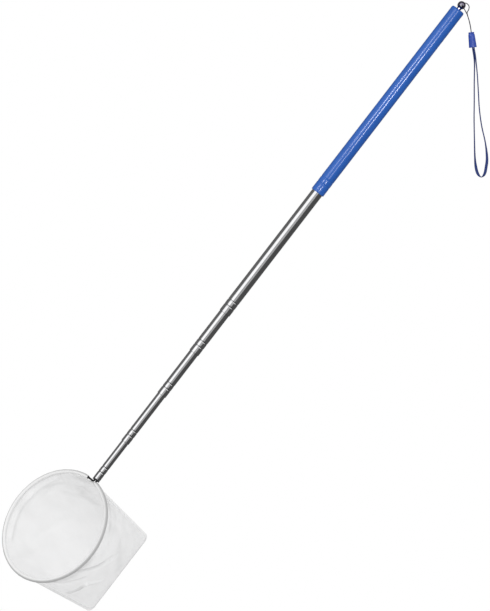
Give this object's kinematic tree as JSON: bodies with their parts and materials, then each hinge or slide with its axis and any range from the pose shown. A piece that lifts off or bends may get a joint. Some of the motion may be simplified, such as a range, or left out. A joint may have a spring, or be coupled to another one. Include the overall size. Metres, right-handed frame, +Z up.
{
  "type": "leaf skimmer net",
  "caption": "Telescopic leaf skimmer: a round wire hoop with a white mesh bag on nested steel tubes, a blue sleeved grip and a wrist lanyard.",
  "frame": {"origin": "middle of the blue grip, on the pole's axis", "axes": "+Z up as the net hangs in the hand, +X towards the grip's end in the picture plane, +Y away from the viewer; the pole leans 37.6 degrees from +Z towards +X"},
  "size_m": [0.5843, 0.1679, 0.7334],
  "materials": {
    "steel_tube": "polished",
    "blue_sleeve": "gloss",
    "plug_alloy": "satin",
    "chrome_ball": "polished",
    "shim_brass": "satin",
    "black_plastic": "satin",
    "black_wire": "satin",
    "white_hem": "matte",
    "white_mesh": "matte",
    "violet_string": "matte",
    "ferrule_blue": "satin",
    "strap_blue": "matte"
  },
  "bodies": {
    "handle": {"handle_tube": "steel_tube", "grip_sleeve": "blue_sleeve", "end_plug": "plug_alloy", "ball_eyelet": "chrome_ball"},
    "section_5": {"tube_5": "steel_tube", "friction_shim_5": "shim_brass"},
    "section_4": {"tube_4": "steel_tube", "friction_shim_4": "shim_brass"},
    "section_3": {"tube_3": "steel_tube", "friction_shim_3": "shim_brass"},
    "section_2": {"tube_2": "steel_tube", "friction_shim_2": "shim_brass"},
    "shim_carrier": {"friction_shim_1": "shim_brass"},
    "net_head": {"tube_1": "steel_tube", "neck_plug": "black_plastic", "hoop_wire": "black_wire", "hem_sleeve": "white_hem", "mesh_panel_front": "white_mesh", "mesh_panel_back": "white_mesh", "seam_binding": "white_hem"},
    "lanyard": {"lanyard_string": "violet_string", "ferrule": "ferrule_blue", "strap_crimp": "shim_brass", "lanyard_strap": "strap_blue"}
  },
  "joints": [
    {"name": "section_5_slide", "type": "slide", "parent": "handle", "child": "section_5", "axis": [-0.6101, 0, -0.7923], "range_m": [-0.1806, 0.043]},
    {"name": "section_4_slide", "type": "slide", "parent": "section_5", "child": "section_4", "axis": [-0.6101, 0, -0.7923], "range_m": [-0.0582, 0.163]},
    {"name": "section_3_slide", "type": "slide", "parent": "section_4", "child": "section_3", "axis": [-0.6101, 0, -0.7923], "range_m": [-0.0618, 0.156]},
    {"name": "section_2_slide", "type": "slide", "parent": "section_3", "child": "section_2", "axis": [-0.6101, 0, -0.7923], "range_m": [-0.0697, 0.144]},
    {"name": "section_1_slide", "type": "slide", "parent": "section_2", "child": "shim_carrier", "axis": [-0.6101, 0, -0.7923], "range_m": [-0.0539, 0.155]},
    {"name": "net_turn", "type": "hinge", "parent": "shim_carrier", "child": "net_head", "pos_m": [0, 0, 0], "axis": [0.6101, 0, 0.7923], "continuous": true},
    {"name": "lanyard_swing", "type": "hinge", "parent": "handle", "child": "lanyard", "pos_m": [0.08847, 0, 0.11488], "axis": [0, -1, 0], "range_deg": [-8, 165]}
  ]
}
